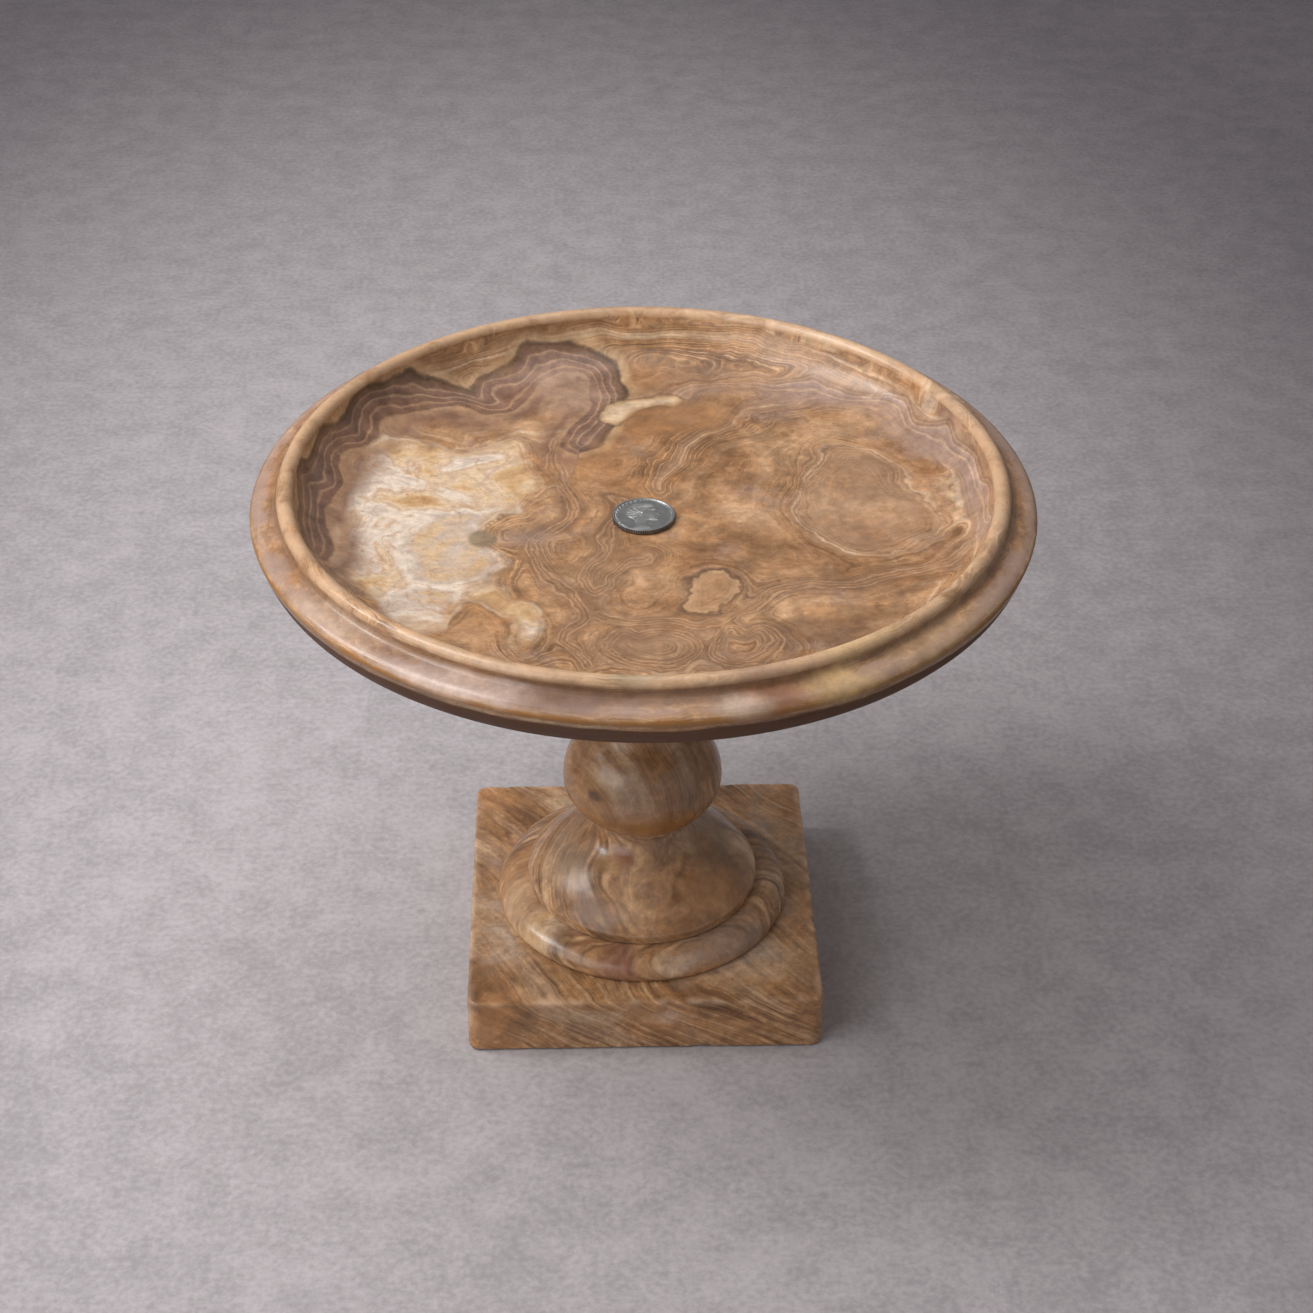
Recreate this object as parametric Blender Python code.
"""Baptismal font on a stem: a shallow stone bowl on a baluster, a round foot and a square plinth.

The stones are turned and bored, and a threaded drain tube through their middles clamps the stack
between its flange in the bowl's floor and two nuts in a recess under the plinth. A stopper with
a coin-like metal cap closes the drain and lifts straight out.

Metres, +Z up. The origin is the middle of the footprint, on the surface that the font stands on.
"""

import bmesh
import bpy
from math import cos, pi, sin

# Driving sizes
BOWL_RADIUS = 0.1500
FONT_HEIGHT = 0.2315
PLINTH_SIDE = 0.1445
TUBE_RADIUS = 0.0070
DRAIN_BORE = 0.0050
GAP = 0.0003  # stands for the contact between two pieces that touch

# Heights of the faces where the pieces meet, from the ground up
PAD_HEIGHT = 0.0015
PLINTH_BASE = 0.0006
PLINTH_TOP = 0.0255
RING_BASE = PLINTH_TOP + GAP
RING_TOP = 0.0349
BELL_BASE = RING_TOP + GAP
BELL_TOP = 0.0684
BALUSTER_BASE = BELL_TOP + GAP
BALUSTER_TOP = 0.1700
COLLAR_BASE = BALUSTER_TOP + GAP
COLLAR_TOP = 0.1773
BOWL_BASE = COLLAR_TOP + GAP
BOWL_FLOOR = 0.2100

# The bowl's rim
ROLL_MIDDLE = (0.1364, 0.2283)
ROLL_WIDTH = 0.0064

# Fits and fixings
STONE_BORE = TUBE_RADIUS + 0.0006
BED_THICKNESS = 0.0008
BED_RECESS = BED_THICKNESS + GAP
RECESS_RADIUS = 0.0146
RECESS_TOP = 0.0155
SPIGOT_RADIUS = 0.0110
SPIGOT_LENGTH = 0.0044
SPIGOT_END_PLAY = 0.0009  # how much shorter the baluster's upper spigot is than its hole
FLANGE_RADIUS = 0.0108
FLANGE_THICKNESS = 0.00135
FLANGE_TOP = BOWL_FLOOR + 0.00005
GASKET_THICKNESS = 0.0007
WASHER_RADIUS = 0.0138
WASHER_THICKNESS = 0.0016
LOWER_GASKET_THICKNESS = 0.0013
LOCK_NUT_THICKNESS = 0.0050
JAM_NUT_THICKNESS = 0.0030
TUBE_END = 0.0025
SEAT_DEPTH = 0.0070
SEAT_MOUTH = 0.0072
CAP_RADIUS = 0.01225
CAP_THICKNESS = 0.00185
DOWEL_RADIUS = 0.0020
DOWEL_LENGTH = 0.0110

# Facets round each turned piece
FACETS_LARGE = 48
FACETS = 24
FACETS_SMALL = 16


def clear_scene():
    for old in list(bpy.data.objects):
        bpy.data.objects.remove(old, do_unlink=True)


def make_material(name, colour, roughness, metallic=0.0):
    material = bpy.data.materials.new(name)
    material.use_nodes = True
    shader = material.node_tree.nodes["Principled BSDF"]
    shader.inputs["Base Color"].default_value = (*colour, 1.0)
    shader.inputs["Roughness"].default_value = roughness
    shader.inputs["Metallic"].default_value = metallic
    return material


def add_object(name, bm, material):
    """Turns a finished bmesh into a named object that is shaded smooth between its edges."""
    bmesh.ops.recalc_face_normals(bm, faces=bm.faces)
    mesh = bpy.data.meshes.new(name)
    bm.to_mesh(mesh)
    bm.free()
    mesh.shade_smooth()
    mesh.set_sharp_from_angle(angle=pi / 6)
    mesh.materials.append(material)
    made = bpy.data.objects.new(name, mesh)
    bpy.context.scene.collection.objects.link(made)
    return made


# Outline helpers. A point is (radius, height).


def arc(centre, radii, start, end, steps):
    """Points of an ellipse's arc, with its angles in degrees from +radius towards +height."""
    points = []
    for i in range(steps + 1):
        angle = (start + (end - start) * i / steps) * pi / 180
        points.append((centre[0] + radii[0] * cos(angle), centre[1] + radii[1] * sin(angle)))
    return points


def curve(first, pull_first, pull_last, last, steps):
    """Points of a cubic curve, without its two ends."""
    points = []
    for i in range(1, steps):
        t = i / steps
        weights = ((1 - t) ** 3, 3 * t * (1 - t) ** 2, 3 * t * t * (1 - t), t**3)
        ends = (first, pull_first, pull_last, last)
        points.append(tuple(sum(w * p[k] for w, p in zip(weights, ends)) for k in (0, 1)))
    return points


def turned(name, outline, material, facets=FACETS, closed=True):
    """Spins an outline once round the Z axis. An open outline starts and ends on the axis."""
    bm = bmesh.new()
    points = [bm.verts.new((radius, 0, height)) for radius, height in outline]
    edges = [bm.edges.new(pair) for pair in zip(points, points[1:])]
    if closed:
        edges.append(bm.edges.new((points[-1], points[0])))
    bmesh.ops.spin(
        bm,
        geom=points + edges,
        cent=(0, 0, 0),
        axis=(0, 0, 1),
        angle=2 * pi,
        steps=facets,
        use_merge=True,
    )
    bmesh.ops.remove_doubles(bm, verts=bm.verts, dist=1e-6)
    return add_object(name, bm, material)


def ring(name, inner, outer, base, top, material, facets=FACETS):
    """A flat ring, as a washer, gasket or bedding ring is."""
    outline = [(inner, base), (outer, base), (outer, top), (inner, top)]
    return turned(name, outline, material, facets)


def cut(target, cutter):
    """Takes the cutter's shape away from the target."""
    cutter.hide_render = True
    cutter.display_type = "WIRE"
    boolean = target.modifiers.new("cut_" + cutter.name, "BOOLEAN")
    boolean.operation = "DIFFERENCE"
    boolean.solver = "EXACT"
    boolean.object = cutter


# Stones


def make_plinth(stone):
    """A square slab with eased edges, bored for the tube and recessed underneath for its nuts."""
    corner_radius, top_easing, base_easing = 0.0045, 0.0016, 0.0008
    bm = bmesh.new()
    bmesh.ops.create_cube(bm, size=1)
    height = PLINTH_TOP - PLINTH_BASE
    bmesh.ops.scale(bm, verts=bm.verts, vec=(PLINTH_SIDE, PLINTH_SIDE, height))
    bmesh.ops.translate(bm, verts=bm.verts, vec=(0, 0, PLINTH_BASE + height / 2))
    middle = PLINTH_BASE + height / 2

    def edges_where(test):
        return [e for e in bm.edges if test(*(v.co.z for v in e.verts))]

    upright = edges_where(lambda a, b: abs(a - b) > height / 2)
    bmesh.ops.bevel(bm, geom=upright, offset=corner_radius, segments=4, profile=0.5, affect="EDGES")
    top = edges_where(lambda a, b: min(a, b) > middle)
    bmesh.ops.bevel(bm, geom=top, offset=top_easing, segments=3, profile=0.5, affect="EDGES")
    base = edges_where(lambda a, b: max(a, b) < middle and abs(a - b) < 1e-6)
    bmesh.ops.bevel(bm, geom=base, offset=base_easing, segments=2, profile=0.5, affect="EDGES")
    plinth = add_object("plinth", bm, stone)
    bore = [
        (0, PLINTH_BASE - 0.002),
        (RECESS_RADIUS, PLINTH_BASE - 0.002),
        (RECESS_RADIUS, RECESS_TOP),
        (STONE_BORE, RECESS_TOP),
        (STONE_BORE, PLINTH_TOP + 0.002),
        (0, PLINTH_TOP + 0.002),
    ]
    cut(plinth, turned("plinth_bore_cutter", bore, stone, closed=False))
    return plinth


def make_base_ring(stone):
    """The rounded moulding that lies on the plinth, a little hollow underneath for its bed."""
    outer, land = 0.0610, 0.0486
    bed_inner, bed_outer = 0.0110, 0.0400
    outline = [
        (STONE_BORE, RING_TOP),
        (STONE_BORE, RING_BASE),
        (bed_inner, RING_BASE),
        (bed_inner, RING_BASE + BED_RECESS),
        (bed_outer, RING_BASE + BED_RECESS),
        (bed_outer, RING_BASE),
        (outer - 0.0006, RING_BASE),
    ]
    shoulder = (land, RING_BASE + 0.0016)
    outline += arc(shoulder, (outer - land, RING_TOP - shoulder[1]), 0, 90, 6)
    return turned("base_ring", outline, stone)


def make_bell(stone):
    """The foot's dome: a square-edged lip, a full curve up and a hollow neck under the baluster."""
    lip_radius, lip_height, neck_radius = 0.0481, 0.0396, 0.0175
    bed_inner, bed_outer = 0.0110, 0.0310
    shoulder = (0.0270, 0.0557)
    outline = [
        (STONE_BORE, BELL_TOP - SPIGOT_LENGTH - GAP),
        (STONE_BORE, BELL_BASE),
        (bed_inner, BELL_BASE),
        (bed_inner, BELL_BASE + BED_RECESS),
        (bed_outer, BELL_BASE + BED_RECESS),
        (bed_outer, BELL_BASE),
        (lip_radius - 0.0003, BELL_BASE),
        (lip_radius, BELL_BASE + 0.0003),
        (lip_radius, lip_height - 0.0004),
        (lip_radius - 0.0004, lip_height),
    ]
    outline += curve(outline[-1], (0.0440, 0.0458), (0.0350, 0.0520), shoulder, 6) + [shoulder]
    neck = (neck_radius, BELL_TOP)
    outline += curve(shoulder, (0.0205, 0.0588), (0.0178, 0.0622), neck, 5) + [neck]
    outline += [
        (SPIGOT_RADIUS + GAP, BELL_TOP),
        (SPIGOT_RADIUS + GAP, BELL_TOP - SPIGOT_LENGTH - GAP),
    ]
    return turned("foot_bell", outline, stone)


def make_baluster(stone):
    """The stem: a flattened ball that narrows to a neck and opens again under the collar."""
    ball_middle, ball_radius = 0.0880, 0.0329
    lower_half, upper_half = 0.0230, 0.0280
    foot_radius, head_radius, bed_outer = 0.0173, 0.0245, 0.0160
    waist = (0.0140, 0.1290)
    spigot_top = BALUSTER_TOP + SPIGOT_LENGTH - SPIGOT_END_PLAY
    outline = [
        (STONE_BORE, spigot_top),
        (STONE_BORE, BALUSTER_BASE - SPIGOT_LENGTH),
        (SPIGOT_RADIUS, BALUSTER_BASE - SPIGOT_LENGTH),
        (SPIGOT_RADIUS, BALUSTER_BASE + BED_RECESS),
        (bed_outer, BALUSTER_BASE + BED_RECESS),
        (bed_outer, BALUSTER_BASE),
        (foot_radius, BALUSTER_BASE),
    ]
    outline += arc((0, ball_middle), (ball_radius, lower_half), -49.4, 0, 6)
    outline += arc((0, ball_middle), (ball_radius, upper_half), 8, 51, 5)
    shoulder = outline[-1]
    outline += curve(shoulder, (0.0166, 0.1136), (0.0140, 0.1190), waist, 6) + [waist]
    head = (head_radius, BALUSTER_TOP)
    outline += curve(waist, (0.0140, 0.1430), (0.0180, 0.1610), head, 6) + [head]
    outline += [(SPIGOT_RADIUS, BALUSTER_TOP), (SPIGOT_RADIUS, spigot_top)]
    return turned("baluster", outline, stone)


def make_collar(stone):
    """The ring under the bowl: a half-round between two square edges."""
    edge_radius, round_radius, edge_height = 0.0268, 0.0262, 0.0014
    bed_inner, bed_outer = 0.0135, 0.0215
    middle = (COLLAR_BASE + COLLAR_TOP) / 2
    half = (COLLAR_TOP - COLLAR_BASE) / 2 - edge_height
    outline = [
        (SPIGOT_RADIUS + GAP, COLLAR_TOP),
        (SPIGOT_RADIUS + GAP, COLLAR_BASE),
        (bed_inner, COLLAR_BASE),
        (bed_inner, COLLAR_BASE + BED_RECESS),
        (bed_outer, COLLAR_BASE + BED_RECESS),
        (bed_outer, COLLAR_BASE),
        (edge_radius, COLLAR_BASE),
        (edge_radius, COLLAR_BASE + edge_height),
    ]
    outline += arc((round_radius, middle), (0.0034, half), -80, 80, 6)
    outline += [(edge_radius, COLLAR_TOP - edge_height), (edge_radius, COLLAR_TOP)]
    return turned("collar", outline, stone)


def bowl_inside():
    """From the rim's roll down the inside of the wall and over the dished floor to the drain."""
    points = arc(ROLL_MIDDLE, (ROLL_WIDTH / 2, FONT_HEIGHT - ROLL_MIDDLE[1]), 0, 180, 6)
    floor_edge = (0.1100, BOWL_FLOOR + 0.0020)
    points += curve(points[-1], (0.1312, 0.2210), (0.1255, 0.2140), floor_edge, 5) + [floor_edge]
    counterbore = (FLANGE_RADIUS + GAP, BOWL_FLOOR)
    points += curve(floor_edge, (0.0800, 0.2107), (0.0500, BOWL_FLOOR), counterbore, 3)
    return points + [counterbore]


def bowl_outside():
    """From the boss over the collar, under the bowl, up its side and up the hollow below the rim's roll."""
    boss = (0.0275, BOWL_BASE)
    belly = (0.0650, 0.1943)
    turn = (0.1440, 0.2092)
    edge = (0.1494, 0.2196)
    points = [boss] + curve(boss, (0.0285, 0.1860), (0.0420, 0.1928), belly, 5) + [belly]
    points += curve(belly, (0.0950, 0.1968), (0.1320, 0.1995), turn, 5) + [turn]
    points += curve(turn, (0.1468, 0.2113), (0.1484, 0.2155), edge, 3)
    bead, groove = (0.1440, 0.2206), (0.1424, 0.2254)
    points += arc(bead, (BOWL_RADIUS - bead[0], 0.0042), 0, 80, 5)
    roll_side = (ROLL_MIDDLE[0] + ROLL_WIDTH / 2, ROLL_MIDDLE[1])
    return points + [groove] + curve(groove, (0.1408, 0.2256), (0.1396, 0.2266), roll_side, 3)


def make_bowl(stone):
    """The bowl, with a boss underneath and a counterbored hole for the drain in its floor."""
    gasket_seat = FLANGE_TOP - FLANGE_THICKNESS - GAP - GASKET_THICKNESS - GAP
    spigot_base = BOWL_BASE - 0.0034
    bed_inner, bed_outer = 0.0135, 0.0225
    outline = [
        (STONE_BORE, gasket_seat),
        (STONE_BORE, spigot_base),
        (SPIGOT_RADIUS, spigot_base),
        (SPIGOT_RADIUS, BOWL_BASE),
        (bed_inner, BOWL_BASE),
        (bed_inner, BOWL_BASE + BED_RECESS),
        (bed_outer, BOWL_BASE + BED_RECESS),
        (bed_outer, BOWL_BASE),
    ]
    outline += bowl_outside() + bowl_inside()
    outline.append((FLANGE_RADIUS + GAP, gasket_seat))
    return turned("bowl", outline, stone, FACETS_LARGE)


# Beds, dowels and pads


def make_beds(lead):
    """Thin soft rings that keep stone off stone, each let into the piece above it."""
    beds = {
        "plinth_bed": (0.0113, 0.0397, RING_BASE),
        "ring_bed": (0.0113, 0.0307, BELL_BASE),
        "stem_bed": (SPIGOT_RADIUS + GAP, 0.0157, BALUSTER_BASE),
        "collar_bed": (0.0138, 0.0212, COLLAR_BASE),
        "bowl_bed": (0.0138, 0.0222, BOWL_BASE),
    }
    for name, (inner, outer, base) in beds.items():
        ring(name, inner, outer, base, base + BED_THICKNESS, lead)


def pin_outline(radius, base, top, easing):
    """A solid pin's outline, with its two ends eased by a small chamfer."""
    if not easing:
        return [(0, base), (radius, base), (radius, top), (0, top)]
    return [
        (0, base),
        (radius - easing, base),
        (radius, base + easing),
        (radius, top - easing),
        (radius - easing, top),
        (0, top),
    ]


def make_pin(name, radius, base, top, easing, place, material):
    """A short round pin that stands on (x, y)."""
    outline = pin_outline(radius, base, top, easing)
    pin = turned(name, outline, material, FACETS_SMALL, closed=False)
    pin.location = (*place, 0)
    return pin


def make_dowels(brass, stones):
    """Pairs of dowels across the two lowest joints stop the foot from turning on the plinth."""
    # For each joint: the dowels' distance from the axis, their lower end and the two stones.
    joints = {
        "plinth_dowel": (0.0450, RING_BASE - 0.0066, ("plinth", "base_ring")),
        "ring_dowel": (0.0370, BELL_BASE - 0.0044, ("base_ring", "foot_bell")),
    }
    for name, (offset, base, joined) in joints.items():
        top = base + DOWEL_LENGTH
        for side, place in (("left", (-offset, 0)), ("right", (offset, 0))):
            make_pin(f"{name}_{side}", DOWEL_RADIUS, base, top, 0.0003, place, brass)
            hole = (DOWEL_RADIUS + GAP, base - GAP, top + GAP, 0.0001)
            cutter = make_pin(f"{name}_{side}_cutter", *hole, place, brass)
            for stone in joined:
                cut(stones[stone], cutter)


def make_pads(cork, plinth):
    """Four cork discs, each let into the underside of the plinth near a corner."""
    offset, radius, easing = 0.0560, 0.0090, 0.0003
    for depth, y in (("front", -offset), ("back", offset)):
        for side, x in (("left", -offset), ("right", offset)):
            name = f"pad_{depth}_{side}"
            make_pin(name, radius, 0, PAD_HEIGHT, easing, (x, y), cork)
            seat = (radius + GAP, PLINTH_BASE - 0.001, PAD_HEIGHT + GAP, 0.0001)
            cut(plinth, make_pin(name + "_seat_cutter", *seat, (x, y), cork))


# Drain


def make_drain_tube(brass):
    """A threaded tube with a flange in the bowl's floor and a tapered seat in its mouth."""
    flange_base = FLANGE_TOP - FLANGE_THICKNESS
    outline = [
        (DRAIN_BORE, FLANGE_TOP - SEAT_DEPTH),
        (DRAIN_BORE, TUBE_END + 0.0003),
        (DRAIN_BORE + 0.0003, TUBE_END),
        (TUBE_RADIUS - 0.0006, TUBE_END),
        (TUBE_RADIUS, TUBE_END + 0.0006),
        (TUBE_RADIUS, flange_base),
        (FLANGE_RADIUS, flange_base),
        (FLANGE_RADIUS, FLANGE_TOP - 0.0004),
        (FLANGE_RADIUS - 0.0004, FLANGE_TOP),
        (SEAT_MOUTH, FLANGE_TOP),
    ]
    return turned("drain_tube", outline, brass)


def make_drain_washers(rubber, steel):
    """The gasket under the flange and the gasket and washer above the nuts. Gives the nuts' top."""
    flange_base = FLANGE_TOP - FLANGE_THICKNESS
    inner = TUBE_RADIUS + GAP
    top = flange_base - GAP
    ring("flange_gasket", inner, FLANGE_RADIUS - 0.0002, top - GASKET_THICKNESS, top, rubber)
    top = RECESS_TOP - GAP
    ring("plinth_gasket", inner, WASHER_RADIUS, top - LOWER_GASKET_THICKNESS, top, rubber)
    top -= LOWER_GASKET_THICKNESS + GAP
    ring("plinth_washer", inner, WASHER_RADIUS, top - WASHER_THICKNESS, top, steel)
    return top - WASHER_THICKNESS - GAP


def make_nut(name, top, thickness, brass):
    """A hexagon nut with its corners eased by a cone at both ends."""
    flats, easing = 0.0200, 0.0007
    corner = flats / 2 / cos(pi / 6)
    bm = bmesh.new()
    bmesh.ops.create_cone(
        bm, cap_ends=True, segments=6, radius1=corner, radius2=corner, depth=thickness
    )
    bmesh.ops.translate(bm, verts=bm.verts, vec=(0, 0, top - thickness / 2))
    nut = add_object(name, bm, brass)
    low, high = top - thickness - 0.001, top + 0.001
    bore = pin_outline(TUBE_RADIUS + GAP, low, high, 0)
    cut(nut, turned(name + "_bore_cutter", bore, brass, closed=False))
    outer = corner + 0.002
    for end, step in ((top, 1), (top - thickness, -1)):
        # A ring whose sloping inside takes off the corners.
        ring_outline = [
            (flats / 2, end + step * 0.0005),
            (flats / 2, end),
            (corner + 0.0005, end - step * easing),
            (outer, end - step * easing),
            (outer, end + step * 0.0005),
        ]
        side = "top" if step > 0 else "base"
        cut(nut, turned(f"{name}_{side}_cutter", ring_outline, brass))


def make_nuts(brass, top):
    make_nut("lock_nut", top, LOCK_NUT_THICKNESS, brass)
    make_nut("jam_nut", top - LOCK_NUT_THICKNESS - GAP, JAM_NUT_THICKNESS, brass)


# Stopper


def make_stopper(silver, rubber, brass):
    """A coin-like cap with a boss underneath, a tapered rubber plug and the screw that holds it."""
    cap_base = FLANGE_TOP + GAP
    cap_top = cap_base + CAP_THICKNESS
    boss_radius, boss_base = 0.0031, cap_base - 0.0060
    screw_radius, screw_top = 0.0015, cap_base - 0.0006
    rim, field = 0.0010, 0.00025
    cap = [
        (0, screw_top + GAP),
        (screw_radius + GAP, screw_top + GAP),
        (screw_radius + GAP, boss_base),
        (boss_radius, boss_base),
        (boss_radius, cap_base),
        (CAP_RADIUS - 0.0003, cap_base),
        (CAP_RADIUS, cap_base + 0.0003),
        (CAP_RADIUS, cap_top - 0.0003),
        (CAP_RADIUS - 0.0003, cap_top),
        (CAP_RADIUS - rim, cap_top),
        (CAP_RADIUS - rim - field, cap_top - field),
        (0, cap_top - field),
    ]
    turned("stopper_cap", cap, silver, closed=False)
    taper = (SEAT_MOUTH - DRAIN_BORE) / SEAT_DEPTH
    plug_top, plug_base = cap_base - GAP, boss_base - 0.0030

    def plug_radius(height):
        seat = DRAIN_BORE + max(0, height - (FLANGE_TOP - SEAT_DEPTH)) * taper
        return seat - 0.00035

    plug = [
        (boss_radius + GAP, plug_top),
        (boss_radius + GAP, boss_base - GAP),
        (screw_radius + GAP, boss_base - GAP),
        (screw_radius + GAP, plug_base),
        (plug_radius(plug_base) - 0.0004, plug_base),
        (plug_radius(plug_base), plug_base + 0.0004),
        (plug_radius(0), FLANGE_TOP - SEAT_DEPTH),
        (plug_radius(plug_top), plug_top),
    ]
    turned("stopper_plug", plug, rubber)
    head_top = plug_base - GAP
    head_radius, head_height, slot_width = 0.0040, 0.0016, 0.0009
    screw = [(0, head_top - head_height)]
    screw += arc((head_radius - 0.0008, head_top - head_height + 0.0008), (0.0008, 0.0008), -90, 0, 3)
    screw += [
        (head_radius, head_top),
        (screw_radius, head_top),
        (screw_radius, screw_top - 0.0003),
        (screw_radius - 0.0003, screw_top),
        (0, screw_top),
    ]
    made = turned("stopper_screw", screw, brass, FACETS_SMALL, closed=False)
    bm = bmesh.new()
    bmesh.ops.create_cube(bm, size=1)
    bmesh.ops.scale(bm, verts=bm.verts, vec=(0.0100, slot_width, 0.0014))
    bmesh.ops.translate(bm, verts=bm.verts, vec=(0, 0, head_top - head_height))
    cut(made, add_object("stopper_screw_slot_cutter", bm, brass))


def main():
    clear_scene()
    bpy.context.scene.unit_settings.scale_length = 1.0
    stone = make_material("onyx_marble", (0.46, 0.29, 0.18), 0.28)
    lead = make_material("lead", (0.22, 0.22, 0.23), 0.55, 0.8)
    brass = make_material("brass", (0.55, 0.42, 0.20), 0.35, 1.0)
    steel = make_material("steel", (0.45, 0.45, 0.46), 0.35, 1.0)
    silver = make_material("old_silver", (0.30, 0.31, 0.32), 0.38, 1.0)
    rubber = make_material("rubber", (0.03, 0.03, 0.03), 0.80)
    cork = make_material("cork", (0.42, 0.28, 0.16), 0.90)
    stones = {
        made.name: made
        for made in (
            make_plinth(stone),
            make_base_ring(stone),
            make_bell(stone),
            make_baluster(stone),
            make_collar(stone),
            make_bowl(stone),
        )
    }
    make_beds(lead)
    make_dowels(brass, stones)
    make_pads(cork, stones["plinth"])
    make_drain_tube(brass)
    nut_top = make_drain_washers(rubber, steel)
    make_nuts(brass, nut_top)
    make_stopper(silver, rubber, brass)


main()
